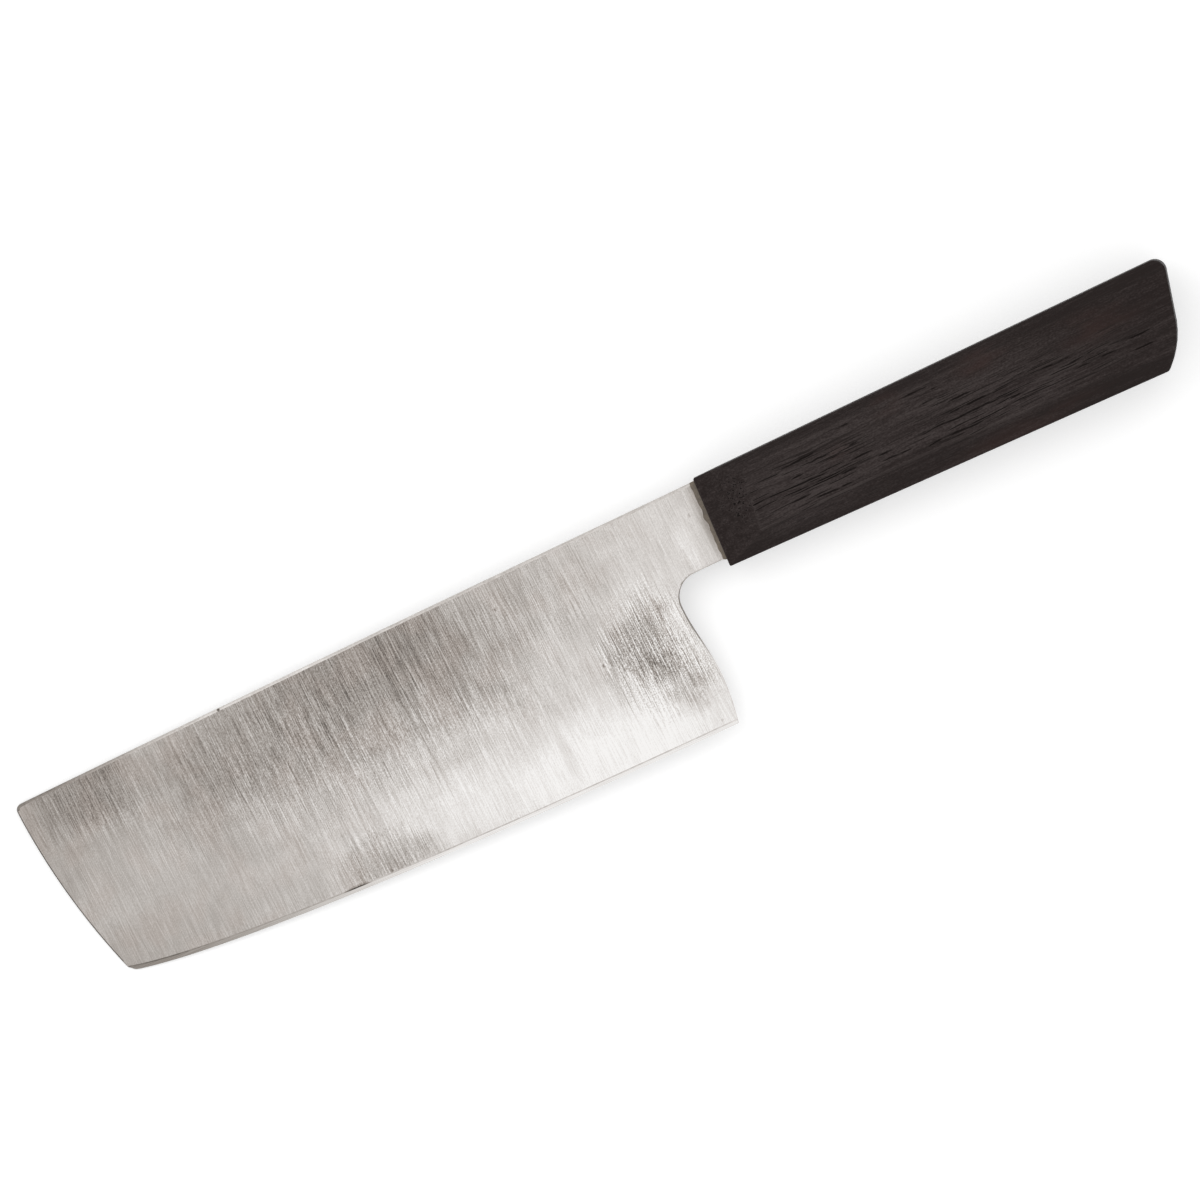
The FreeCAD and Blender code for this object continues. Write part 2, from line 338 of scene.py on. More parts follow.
def woodMaterial():
    spec = woodSpec
    size, contrast = spec["size"], spec["contrast"]
    material, tree, shader = newMaterial("dark_open_grain_wood")
    coords = knifeCoords(tree)
    grain = shifted(tree, coords, stretched(tree, coords, size["bend"]), spec["bend"])
    fibre = stretched(tree, grain, size["fibre"], rough=0.6).outputs["Fac"]
    band = stretched(tree, grain, size["band"]).outputs["Fac"]
    patch = stretched(tree, grain, size["patch"]).outputs["Fac"]
    speck = stretched(tree, grain, size["speck"], detail=1.0).outputs["Fac"]
    slit, lip = poreMarks(tree, coords, grain)
    # painted shade on the chamfers, from a mark their faces carry
    shadeAndTone = put(tree, "Attribute", attribute_name="shadeAndTone").outputs["Fac"]
    tone = total(tree, swing(tree, fibre, contrast["fibre"]), swing(tree, band, contrast["band"]),
                 swing(tree, speck, contrast["speck"]), spots(tree, grain, spec["shadeAndTone"]),
                 calc(tree, "MULTIPLY", shadeAndTone, spec["chamferShade"]), spec["level"])
    colour = ramp(tree, tone, spec["tones"])
    redness = fit(tree, patch, *spec["redPatches"])
    redness = calc(tree, "MULTIPLY", spots(tree, grain, spec["redPlaces"]), redness)
    along = put(tree, "SeparateXYZ", {"Vector": coords}).outputs["X"]
    # edges pale partly from wear and partly with painted highlight, in patches, less towards the butt
    edgeWearAndHighlight = put(tree, "Attribute", attribute_name="edgeWearAndHighlight").outputs["Fac"]
    edgeWearAndHighlight = calc(tree, "MULTIPLY", edgeWearAndHighlight, fit(tree, patch, *spec["paleEdgePatches"]))
    edgeWearAndHighlight = calc(tree, "MULTIPLY", edgeWearAndHighlight, fit(tree, along, *spec["paleEdgeFades"]))
    # the pale ring round the pores is painted highlight
    lip = calc(tree, "MULTIPLY", lip, spec["poreHighlightShows"])
    for amount, tint in ((redness, "red"), (lip, "paleWearAndHighlight"), (edgeWearAndHighlight, "paleWearAndHighlight"), (slit, "pore")):
        sockets = {"Fac": amount, "Color1": colour, "Color2": (*spec[tint], 1)}
        colour = put(tree, "MixRGB", sockets).outputs[0]
    tree.links.new(colour, shader.inputs["Base Color"])
    roughness = fit(tree, calc(tree, "ADD", slit, fibre), 0.3, 1.2, *spec["roughness"])
    tree.links.new(roughness, shader.inputs["Roughness"])
    shader.inputs["Specular IOR Level"].default_value = spec["sheen"]
    height = calc(tree, "SUBTRACT", calc(tree, "MULTIPLY", fibre, spec["fibreRelief"]), slit)
    relief(tree, shader, height, *spec["relief"])
    return material


def planeOff(bm, point, outward):
    # takes off all that lies past a plane and closes the cut, as a hand plane would
    geom = bm.verts[:] + bm.edges[:] + bm.faces[:]
    cut = bmesh.ops.bisect_plane(bm, geom=geom, dist=snap, plane_co=point, plane_no=outward,
                                 clear_outer=True)
    rim = [g for g in cut["geom_cut"] if isinstance(g, bmesh.types.BMEdge)]
    if rim:
        bmesh.ops.edgeloop_fill(bm, edges=rim)


def planeThrough(a, b, c, outward):
    normal = (b - a).cross(c - a).normalized()
    return a, normal if normal.dot(outward) > 0 else -normal


def shapeHandle(bm):
    spec = handleSpec
    half, top = spec["thickness"] / 2, spec["rise"]
    lowFront, lowButt = top - spec["frontHeight"], top - spec["buttHeight"]
    long = spec["length"]
    # a rough block, longer and higher than the handle, to plane down
    spare, high, middle = 20, 60, -12
    bmesh.ops.create_cube(bm, size=1.0)
    bmesh.ops.scale(bm, vec=(long + spare, high, spec["thickness"]), verts=bm.verts[:])
    bmesh.ops.translate(bm, vec=(long / 2, middle, 0), verts=bm.verts[:])
    planeOff(bm, Vector((0, top, 0)), Vector((0, 1, 0)))
    planeOff(bm, Vector((0, lowFront, 0)), Vector(((lowButt - lowFront) / long, -1, 0)).normalized())
    lean = math.tan(math.radians(spec["frontLean"]))
    planeOff(bm, Vector((0, 0, 0)), Vector((-1, lean, 0)).normalized())
    for side in (1, -1):
        a = Vector((0, top, side * (half - spec["upperChamfer"])))
        planeOff(bm, a, Vector((0, 1, side)).normalized())
        a = Vector((0, lowFront + spec["lowerChamferFront"], side * half))
        b = Vector((0, lowFront, side * (half - spec["lowerChamferFront"])))
        c = Vector((long, lowButt + spec["lowerChamferButt"], side * half))
        planeOff(bm, *planeThrough(a, b, c, Vector((0, -1, side))))
        a = Vector((frontX(lowFront), lowFront, side * spec["bevelWeb"] / 2))
        b = a + Vector((spec["bevelLength"], 0, side * (half - spec["bevelWeb"] / 2)))
        tilt = math.radians(spec["bevelLean"])
        c = a + Vector((math.sin(tilt), math.cos(tilt), 0))
        planeOff(bm, *planeThrough(a, b, c, Vector((-1, 0, side))))
    shapeButt(bm)


def shapeButt(bm):
    spec = handleSpec
    slant = math.radians(spec["buttSlant"])
    down = Vector((-math.sin(slant), -math.cos(slant), 0))
    outward = Vector((math.cos(slant), -math.sin(slant), 0))
    corner = Vector((spec["length"], spec["rise"], 0))
    planeOff(bm, corner, outward)
    radius = spec["buttLowerRound"]
    centre = corner + down * spec["buttFlat"] - outward * radius
    steps = 10
    for step in range(1, steps + 1):
        turn = math.radians(spec["buttTurn"]) * step / steps
        way = down * math.sin(turn) + outward * math.cos(turn)
        planeOff(bm, centre + way * radius, way)
    radius = spec["buttTopRound"]
    back = radius * (1 + math.sin(slant)) / math.cos(slant)
    centre = corner - Vector((back, radius, 0))
    steps = 8
    for step in range(1, steps):
        turn = -slant + (math.pi / 2 + slant) * step / steps
        way = Vector((math.cos(turn), math.sin(turn), 0))
        planeOff(bm, centre + way * radius, way)


def bowFacets(bm):
    # hand planing leaves the lower facets widest in the middle of the handle
    spec = handleSpec
    half = spec["thickness"] / 2
    near = 1e-3
    start, end = spec["facetSpan"]
    for step in range(1, spec["facetLengths"]):
        geom = bm.verts[:] + bm.edges[:] + bm.faces[:]
        across = (start + (end - start) * step / spec["facetLengths"], 0, 0)
        bmesh.ops.bisect_plane(bm, geom=geom, dist=snap, plane_co=across, plane_no=(1, 0, 0))
    for v in bm.verts:
        share = (v.co.x - start) / (end - start)
        if 0 < share < 1 and v.co.y < spec["facetBelow"] and abs(v.co.z) > half - near:
            v.co.y += spec["facetBow"] * 4 * share * (1 - share)


def cutSlot(bm):
    # the tang's blind slot, from a rectangle scored on the front face
    spec = handleSpec
    drop, (mouth, end) = spec["slotDrop"], spec["slotHeights"]
    side = spec["slotWidth"] / 2
    ahead = -0.99
    scores = [((0, y, 0), (0, 1, 0)) for y in (mouth / 2 - drop, -mouth / 2 - drop)]
    scores += [((0, 0, z), (0, 0, 1)) for z in (side, -side)]
    for point, way in scores:
        front = [f for f in bm.faces if f.normal.x < ahead]
        geom = list(dict.fromkeys(g for f in front for g in (f, *f.edges, *f.verts)))
        bmesh.ops.bisect_plane(bm, geom=geom, dist=snap, plane_co=point, plane_no=way)
    opening = [f for f in bm.faces if f.normal.x < ahead and abs(f.calc_center_median().z) < side
               and abs(f.calc_center_median().y + drop) < mouth / 2]
    made = bmesh.ops.extrude_face_region(bm, geom=opening)["geom"]
    bmesh.ops.delete(bm, geom=opening, context="FACES_ONLY")
    for v in [g for g in made if isinstance(g, bmesh.types.BMVert)]:
        v.co.x = spec["slotDepth"]
        v.co.y = -drop + (v.co.y + drop) * end / mouth


def buildHandle():
    spec = handleSpec
    bm = bmesh.new()
    shapeHandle(bm)
    # corners nearly on one another would hold the easing back
    bmesh.ops.remove_doubles(bm, verts=bm.verts[:], dist=spec["cornerMerge"])
    bowFacets(bm)
    bmesh.ops.recalc_face_normals(bm, faces=bm.faces[:])
    shadeAndTone = bm.faces.layers.float.new("shadeAndTone")
    edgeWearAndHighlight = bm.faces.layers.float.new("edgeWearAndHighlight")
    # the chamfers, which look both up or down and to the side, get painted shade
    for face in bm.faces:
        face[shadeAndTone] = float(abs(face.normal.y) > 0.5 and abs(face.normal.z) > 0.3)
    edges = [e for e in bm.edges if e.calc_face_angle(0) > math.radians(spec["easeFrom"])]
    eased = bmesh.ops.bevel(bm, geom=edges, offset=spec["edgeEase"], segments=spec["easeSteps"],
                            profile=0.5, affect="EDGES", material=-1, clamp_overlap=True)["faces"]
    # the eased edges get pale wear and painted highlight, most on the lower edges
    much, little = spec["edgeWearAndHighlight"]
    low, side = spec["lowerEdgePast"]
    for face in eased:
        place = face.calc_center_median()
        face[edgeWearAndHighlight] = much if place.y < low and abs(place.z) > side else little
    cutSlot(bm)
    markSharp(bm)
    piece = toPiece(bm, "handle_planed", woodMaterial())
    # keeps the flats flat in the light, beside their eased edges
    flats = piece.modifiers.new("flats", "WEIGHTED_NORMAL")
    flats.weight = 100
    flats.keep_sharp = True
    return piece


# steel: brushed from spine to edge, with a grey-brown film and smudges, and painted reflection in its
# bright places and darker band
steelSpec = {
    # tone of the surface, as the grey it shows, and the steel's colour at that tone
    "tones": [
        (0.25, (0.050, 0.044, 0.039)),
        (0.40, (0.134, 0.120, 0.107)),
        (0.55, (0.292, 0.262, 0.238)),
        (0.67, (0.436, 0.406, 0.379)),
        (0.83, (0.690, 0.660, 0.635)),
        (0.96, (0.920, 0.905, 0.890)),
    ],
    "level": 0.68,
    # size of each kind of mark across the blade's length, along the brushing and into the steel
    "size": {
        "hair": (0.17, 5.0, 3.0),
        "scratch": (0.26, 11.0, 4.0),
        "grit": (0.26, 0.38, 0.38),
        "band": (4.0, 36.0, 12.0),
        "cloud": (13.0, 10.0, 12.0),
        "blush": (8.0, 9.0, 9.0),
    },
    "contrast": {"hair": 0.30, "scratch": 0.27, "grit": 0.46, "band": 0.06, "cloud": 0.06},
    "brushTurn": (1.0, 1.6, 3.2),  # of hairs, scratches and bands, degrees off the square
    # how far the places wander with the clouds, and fray with the scratches and the grit
    "cloudWander": (18, 13, 0),
    "scratchFray": (0, 6, 0),
    "gritFray": (3, 5, 0),
    "markFray": (0.6, 0.6, 0),
    # middle (x, y), reach (x, y) and change of tone of each place: grey-brown film and smudges, and
    # painted reflection in the bright places and in the darker band high on the flat, as the ground steel
    # would reflect the light
    "places": [
        ((-60, -52), (115, 46), 0.13),
        ((-44, -54), (50, 22), 0.14),
        ((-60, -40), (48, 14), 0.02),
        ((-5, -12), (66, 32), 0.13),
        ((-101, -10), (54, 25), -0.09),
        ((-75, -14), (23, 26), -0.03),
        ((-44, -9), (24, 14), -0.035),
        ((-138, -12), (13, 12), -0.04),
        ((-163, -4), (23, 11), -0.12),
        ((-158, -33), (22, 14), 0.025),
        ((-122, -24), (22, 12), 0.015),
        ((-27.5, -31), (9, 13), -0.12),
        ((-23, -43.5), (5.5, 12), -0.11),
        ((-34, -36), (11, 11), -0.055),
        ((-39, -22), (9, 8), -0.035),
        ((-20, -47.5), (6, 8), -0.045),
        ((-105, -51), (17, 7), -0.105),
        ((-80, -40), (14, 8), 0.03),
        ((-33, -17), (8, 7), -0.025),
        ((-27, -10), (6, 8), -0.04),
        ((-82, -3), (10, 6), -0.03),
        ((-86, -20), (14, 7), 0.03),
        ((-68, -2), (8, 5), 0.03),
        ((-30, -2), (9, 5), -0.03),
        ((-88, -46), (20, 12), 0.055),
        ((-130, -49), (20, 10), -0.03),
        ((-160, -46), (30, 14), -0.018),
        ((-178, -17), (9, 16), -0.04),
    ],
    # the same for marks that keep their shape
    "marks": [
        ((-55.3, -47), (2.2, 10), -0.07),
        # painted shade on the steel beside the bead, under the handle's front
        ((-0.2, -9), (4.0, 22), -0.19),
        ((-4.8, -2.5), (1.4, 5), -0.05),
        ((-7.8, -14), (2.8, 9), 0.06),
        ((-14.2, -10.8), (0.5, 3.5), -0.07),
        ((-9.9, -17.5), (0.5, 3), -0.06),
        ((-4.6, -6.9), (0.5, 0.8), -0.12),
        ((-16.2, -35), (4.5, 17), 0.06),
        ((-114.8, -52.9), (4.2, 0.6), -0.15),
        ((-105.5, -53.0), (0.5, 0.9), -0.15),
        ((-126.4, -0.3), (0.5, 0.6), -0.5),
        ((-38.6, -30.6), (0.5, 0.6), -0.2),
        ((-18.5, -54.5), (0.5, 0.6), -0.1),
        ((-56.2, -7.2), (0.5, 0.6), -0.2),
    ],
    # how strongly the brushing shows, everywhere and at each place
    "brushLevel": 0.36,
    "brushed": [
        ((-95, -16), (72, 32), 0.63),
        ((-45, -8), (26, 16), 0.14),
        ((-152, -38), (40, 16), -0.07),
        ((-26, -34), (17, 20), 1.45),
        ((-106, -50), (18, 9), 0.5),
        ((-164, -6), (20, 14), 0.4),
    ],
    "blush": (1.0, 0.975, 0.965),  # faint pink in patches of the film
    "blushPatches": (0.42, 0.66),
    "blushTones": (0.65, 0.85),    # it fades out between these tones
    "roughness": (0.28, 0.44),     # at a bright tone and at a dark one
    "roughTones": (0.45, 0.95),
    "anisotropy": 0.5,
    "relief": (0.3, 0.04),         # strength, and depth in millimetres
}


def steelMaterial():
    spec = steelSpec
    size, contrast = spec["size"], spec["contrast"]
    hairTurn, scratchTurn, bandTurn = spec["brushTurn"]
    material, tree, shader = newMaterial("brushed_steel")
    coords = knifeCoords(tree)
    hair = needles(tree, coords, size["hair"], hairTurn)
    scratch = stretched(tree, coords, size["scratch"], turn=scratchTurn, rough=0.6)
    band = stretched(tree, coords, size["band"], turn=bandTurn)
    grit = stretched(tree, coords, size["grit"], detail=1.0)
    cloud = stretched(tree, coords, size["cloud"], detail=3.0)
    # the places wander, and fray along the brushing
    moved = shifted(tree, coords, cloud, spec["cloudWander"])
    moved = shifted(tree, moved, scratch, spec["scratchFray"])
    moved = shifted(tree, moved, grit, spec["gritFray"])
    ragged = shifted(tree, coords, grit, spec["markFray"])
    brushing = total(tree, swing(tree, hair.outputs["Color"], contrast["hair"]),
                     swing(tree, scratch.outputs["Fac"], contrast["scratch"]),
                     swing(tree, grit.outputs["Fac"], contrast["grit"]))
    strength = calc(tree, "ADD", spots(tree, moved, spec["brushed"]), spec["brushLevel"])
    tone = total(tree, spots(tree, moved, spec["places"]), spots(tree, ragged, spec["marks"]),
                 calc(tree, "MULTIPLY", brushing, strength),
                 swing(tree, band.outputs["Fac"], contrast["band"]),
                 swing(tree, cloud.outputs["Fac"], contrast["cloud"]), spec["level"])
    blushing = fit(tree, stretched(tree, coords, size["blush"]).outputs["Fac"], *spec["blushPatches"])
    blushing = calc(tree, "MULTIPLY", blushing, fit(tree, tone, *spec["blushTones"], 1.0, 0.0))
    steel = ramp(tree, tone, spec["tones"])
    sockets = {"Fac": blushing, "Color1": steel, "Color2": (*spec["blush"], 1)}
    colour = put(tree, "MixRGB", sockets, blend_type="MULTIPLY").outputs[0]
    tree.links.new(colour, shader.inputs["Base Color"])
    low, high = spec["roughness"]
    roughness = fit(tree, tone, *spec["roughTones"], high, low, "LINEAR")
    tree.links.new(roughness, shader.inputs["Roughness"])
    shader.inputs["Metallic"].default_value = 1.0
    shader.inputs["Anisotropic"].default_value = spec["anisotropy"]
    tangent = put(tree, "Tangent", direction_type="UV_MAP", uv_map="brush").outputs[0]
    tree.links.new(tangent, shader.inputs["Tangent"])
    relief(tree, shader, brushing, *spec["relief"])
    return material


# the steel's narrow outline: squared spine, tip, heel and choil, duller than the broad sides, with
# painted shade and highlight along it
outlineSpec = {
    "level": 0.74,
    # middle, reach and change of tone: painted shade at the tip, painted highlight on the forward part of
    # the spine, painted shade at the choil, painted highlight at the heel, both ends of the painted
    # shadow line above the sharpened bevel, a dark scrape on it, and a nick in the spine
    "places": [
        ((-185, -26), (60, 52), -0.34),
        ((-110, 0), (28, 8), 0.05),
        ((-14, -28), (9, 13), -0.22),
        ((-15, -46), (8, 14), 0.11),
        ((-150, -51), (50, 8), -0.10),
        ((-30, -56.5), (60, 6), 0.04),
        ((-114.8, -53.3), (4.4, 1.2), -0.42),
        ((-126.4, -0.2, 1.0), (0.6, 0.9, 0.6), -0.45),
    ],
    "size": {"drag": (6.0, 6.0, 0.25), "grit": (0.7, 0.7, 0.7)},
    "contrast": {"drag": 0.3, "grit": 0.2},
    "roughness": (0.40, 0.60),
    "relief": (0.3, 0.05),
}


def outlineMaterial():
    spec = outlineSpec
    material, tree, shader = newMaterial("outline_steel")
    coords = knifeCoords(tree)
    size, contrast = spec["size"], spec["contrast"]
    drag = stretched(tree, coords, size["drag"], detail=3.0).outputs["Fac"]
    grit = stretched(tree, coords, size["grit"], detail=3.0).outputs["Fac"]
    tone = total(tree, spots(tree, coords, spec["places"]), spec["level"],
                 swing(tree, drag, contrast["drag"]), swing(tree, grit, contrast["grit"]))
    tree.links.new(ramp(tree, tone, steelSpec["tones"]), shader.inputs["Base Color"])
    tree.links.new(fit(tree, drag, 0.3, 0.7, *spec["roughness"]), shader.inputs["Roughness"])
    shader.inputs["Metallic"].default_value = 1.0
    relief(tree, shader, drag, *spec["relief"])
    return material


# the sharpened bevel: stoned along the edge, with painted shade at the toe and a painted highlight at the
# heel
bevelSpec = {
    "toeShadeTone": 0.50,
    "heelHighlightTone": 0.91,
    "turnsBright": (-185, -80),
    "stoneSize": (9.0, 0.12, 0.5),
    "stoneTurn": -2.0,
    "stoneContrast": 0.2,
    "roughness": (0.22, 0.36),
    "relief": (0.2, 0.02),
}


def bevelMaterial():
    spec = bevelSpec
    material, tree, shader = newMaterial("sharpened_steel")
    coords = knifeCoords(tree)
    stoned = stretched(tree, coords, spec["stoneSize"], turn=spec["stoneTurn"]).outputs["Fac"]
    along = put(tree, "SeparateXYZ", {"Vector": coords}).outputs["X"]
    # painted shade at the toe turning to painted highlight at the heel
    tone = fit(tree, along, *spec["turnsBright"], spec["toeShadeTone"], spec["heelHighlightTone"])
    tone = calc(tree, "ADD", tone, swing(tree, stoned, spec["stoneContrast"]))
    tree.links.new(ramp(tree, tone, steelSpec["tones"]), shader.inputs["Base Color"])
    tree.links.new(fit(tree, stoned, 0.3, 0.7, *spec["roughness"]), shader.inputs["Roughness"])
    shader.inputs["Metallic"].default_value = 1.0
    relief(tree, shader, stoned, *spec["relief"])
    return material


# blade: one steel plate, flat near the spine and ground convex down to the edge
bladeSpec = {
    "length": 165.2,
    "heelBack": 15.3,        # heel corner to the handle's front
    "heelHeight": 56.9,
    "toeHeight": 47.7,
    "crown": 0.25,           # of the spine
    "tipDrop": 0.3,
    "tipRake": 8.3,
    "tipRadius": 170.0,
    "tipRound": 1.7,
    "toeRound": 1.5,
    "edgeHeel": (0.3, 27.0),  # angle and reach of the edge curve at the heel
    "edgeToe": (15.4, 28.0),
    "heelLean": (12.0, 16.0),
    "choilFall": 10.0,
    "choilRadius": 6.0,
    "choilReach": 15.6,
    "neckHeight": 19.9,
    "spineThick": 2.6,
    "tipThick": 1.6,
    "grindLine": 20.0,
    "grindStart": 0.7,       # degrees
    "shoulderThick": 0.4,
    "bevelHeight": 0.9,
    "shoulderShadeLine": 0.3,     # painted shadow line above the bevel
    "edgeThick": 0.08,
    "tangLength": 85.0,
    "tangHeights": (12.0, 7.0),  # at its root and at its end
    "tangDrop": 10.3,        # spine down to its middle
    "tangThick": 2.4,
    "tangStep": 0.1,         # shoulder round the tang's root
    "wave": (0.035, 26.0),   # depth and length of the hand grinding's unevenness
    "ripple": (0.5, 2.3),    # share of that depth, and how much finer, in a second wave
    "waveFade": 6,           # how fast both end at the shoulder
    "spineEase": 0.7,        # rounded-over edges of the spine
    "spineFade": 5.0,        # depth below the spine where that ends
    "ease": 0.28,            # and of the tip, heel and choil
    "easeShare": 0.7,        # most of the half thickness that is rounded over
    "outlineLean": 0.96,     # a face with less of its normal to the side counts as outline
    "sharpFrom": 50,         # degrees
    "brushUnit": 100,        # millimetres to one unit of the brushing's map
    "rings": (0, 0.028, 0.1, 0.28, 0.7, 1.35),  # where the mesh follows those edges
    "columns": 128,
    "flatRows": 20,
    "grindRows": 34,
    "neckColumns": 6,
}


def drawnCurve(start, lead, follow, end, count=80):
    return [p.to_2d() for p in interpolate_bezier(start, lead, follow, end, count)]


def readCurve(points, value, known, wanted):
    # one coordinate of a drawn curve from the other
    for a, b in zip(points, points[1:]):
        if (a[known] - value) * (b[known] - value) <= 0 and a[known] != b[known]:
            return a[wanted] + (b[wanted] - a[wanted]) * (value - a[known]) / (b[known] - a[known])
    ends = (points[0], points[-1])
    return min(ends, key=lambda p: abs(p[known] - value))[wanted]


def bladeCurves():
    spec = bladeSpec
    tip = Vector((-spec["heelBack"] - spec["length"], -spec["tipDrop"], 0))
    toe = Vector((tip.x + spec["tipRake"], -spec["toeHeight"], 0))
    heel = Vector((-spec["heelBack"], -spec["heelHeight"], 0))
    chord = toe - tip
    reach = math.sqrt(spec["tipRadius"] ** 2 - (chord.length / 2) ** 2)
    tipCentre = tip + chord / 2 + Vector((-chord.y, chord.x, 0)).normalized() * reach
    angle, run = spec["edgeHeel"]
    lead = heel + Vector((-run, run * math.tan(math.radians(angle)), 0))
    angle, run = spec["edgeToe"]
    follow = toe + Vector((run, -run * math.tan(math.radians(angle)), 0))
    choil = Vector((-spec["choilReach"], -spec["neckHeight"] - spec["choilRadius"], 0))
    angle, run = spec["heelLean"]
    lean = Vector((math.sin(math.radians(angle)), math.cos(math.radians(angle)), 0)) * run
    back = drawnCurve(heel, heel + lean, choil - Vector((0, spec["choilFall"], 0)), choil)
    edge = drawnCurve(heel, lead, follow, toe)
    return {"tip": tip, "tipCentre": tipCentre, "back": back, "edge": edge}


curves = bladeCurves()


def spineY(x):
    share = x / curves["tip"].x
    return -bladeSpec["tipDrop"] * share + 4 * bladeSpec["crown"] * share * (1 - share)


def edgeY(x):
    return readCurve(curves["edge"], x, 0, 1)


def tipX(y):
    centre = curves["tipCentre"]
    return centre.x - math.sqrt(bladeSpec["tipRadius"] ** 2 - (y - centre.y) ** 2)


def backX(y):
    radius, neck = bladeSpec["choilRadius"], -bladeSpec["neckHeight"]
    middle = radius - bladeSpec["choilReach"]
    if y >= neck:
        return middle
    if y >= neck - radius:
        return middle - math.sqrt(max(0, radius ** 2 - (y - neck + radius) ** 2))
    return readCurve(curves["back"], y, 1, 0)


def halfThick(x, y):
    # tapering flat, convex grind, then the sharpened bevel
    spec = bladeSpec
    flat = (spec["spineThick"] + (spec["tipThick"] - spec["spineThick"]) * x / curves["tip"].x) / 2
    depth, length = spec["wave"]
    place = Vector((x, y, 0)) / length
    part, finer = spec["ripple"]
    uneven = depth * (noise.noise(place) + part * noise.noise(place * finer + Vector((7, 3, 1))))
    if y >= -spec["grindLine"]:
        return flat + uneven
    edge = edgeY(x)
    fall = -spec["grindLine"] - edge - spec["bevelHeight"]
    share = (-spec["grindLine"] - y) / fall
    shoulder = spec["shoulderThick"] / 2
    if share > 1.0001:
        left = max(0.0, (y - edge) / spec["bevelHeight"])
        return spec["edgeThick"] / 2 + (shoulder - spec["edgeThick"] / 2) * left
    start = math.tan(math.radians(spec["grindStart"])) * fall / (flat - shoulder)
    fade = min(1.0, (1 - share) * spec["waveFade"])
    return flat - (flat - shoulder) * (start * share + (1 - start) * share ** 2) + uneven * fade


def rimGap(x, y, tipRound=0):
    # distance in from the spine, the tip or the back
    radius, neck = bladeSpec["choilRadius"], -bladeSpec["neckHeight"]
    joint = radius - bladeSpec["choilReach"]
    if y < neck - radius:
        behind = backX(y) - x
    elif x < joint:
        behind = math.hypot(x - joint, y - neck + radius) - radius
    else:
        behind = y - neck
    ahead = min(spineY(x) - y, x - tipX(y))
    if max(spineY(x) - y, x - tipX(y)) < tipRound:
        ahead = tipRound - math.hypot(tipRound - spineY(x) + y, tipRound - x + tipX(y))
    return max(0, min(ahead, behind))


def easeAt(x, y):
    # how far the steel is rounded over, less where it is thin
    spec = bladeSpec
    nearSpine = max(0, 1 - (spineY(x) - y) / spec["spineFade"])
    soft = spec["ease"] + (spec["spineEase"] - spec["ease"]) * nearSpine
    return min(soft, halfThick(x, y) * spec["easeShare"])


def easedThick(x, y):
    soft = easeAt(x, y)
    left = max(0, soft - rimGap(x, y))
    return halfThick(x, y) - soft + math.sqrt(soft ** 2 - left ** 2)


def roundCorner(a, b, radius):
    # distances from a corner's two sides, drawn in from a sharp corner to a round one
    out = Vector((radius - a, radius - b))
    if min(out) > 0:
        out *= max(out) / out.length
    return radius - out.x - a, radius - out.y - b


def ringed(count, step, first, last):
    # spacing between two rims: close rings at each, even between them
    rings = bladeSpec["rings"]
    side = len(rings) - 1
    if step <= side:
        return first + rings[step]
    if step >= count - side:
        return last - rings[count - step]
    return first + rings[-1] + (last - first - 2 * rings[-1]) * (step - side) / (count - 2 * side)


def bladePoint(column, row):
    # columns counted from the tip to the back, rows down from the spine
    spec = bladeSpec
    neck = spec["neckHeight"]
    ground = spec["flatRows"] + spec["grindRows"]
    x, y = curves["tip"].x / 2, 0.0
    # each depends on the other, and they settle in a few rounds
    rounds = 5
    for settle in range(rounds):
        top, edge = spineY(x), edgeY(x)
        line = edge + spec["bevelHeight"] + spec["shoulderShadeLine"]
        if row <= spec["flatRows"]:
            y = -ringed(spec["flatRows"], row, -top, neck)
        elif row <= ground:
            share = ((row - spec["flatRows"]) / spec["grindRows"]) ** 2
            y = -neck + (line + neck) * share
        else:
            y = edge + (spec["bevelHeight"] if row == ground + 1 else 0)
        x = ringed(spec["columns"], column, tipX(y), backX(y))
    z = easedThick(x, y)
    tipIn, tipDown = roundCorner(x - tipX(y), spineY(x) - y, spec["tipRound"])
    toeIn, toeUp = roundCorner(x - tipX(y), y - edgeY(x), spec["toeRound"])
    return Vector((x + tipIn + toeIn, y - tipDown + toeUp, z))


def bladeSide(bm):
    spec = bladeSpec
    columns, rows = spec["columns"], spec["flatRows"] + spec["grindRows"] + 2
    bmesh.ops.create_grid(bm, x_segments=columns, y_segments=rows, size=0.5)
    for v in bm.verts:
        v.co = bladePoint(round((v.co.x + 0.5) * columns), round((0.5 - v.co.y) * rows))
    # the neck goes on from the back of the flat rows to the handle
    joint = spec["choilRadius"] - spec["choilReach"]
    near = 1e-4
    edges = [e for e in bm.edges if e.is_boundary and
             all(abs(v.co.x - joint) < near and v.co.y > -spec["neckHeight"] - near for v in e.verts)]
    for step in range(1, spec["neckColumns"] + 1):
        made = bmesh.ops.extrude_edge_only(bm, edges=edges)["geom"]
        edges = [g for g in made if isinstance(g, bmesh.types.BMEdge)]
        for v in [g for g in made if isinstance(g, bmesh.types.BMVert)]:
            v.co.x = joint + (frontX(v.co.y) - joint) * step / spec["neckColumns"]
            v.co.z = easedThick(v.co.x, v.co.y)


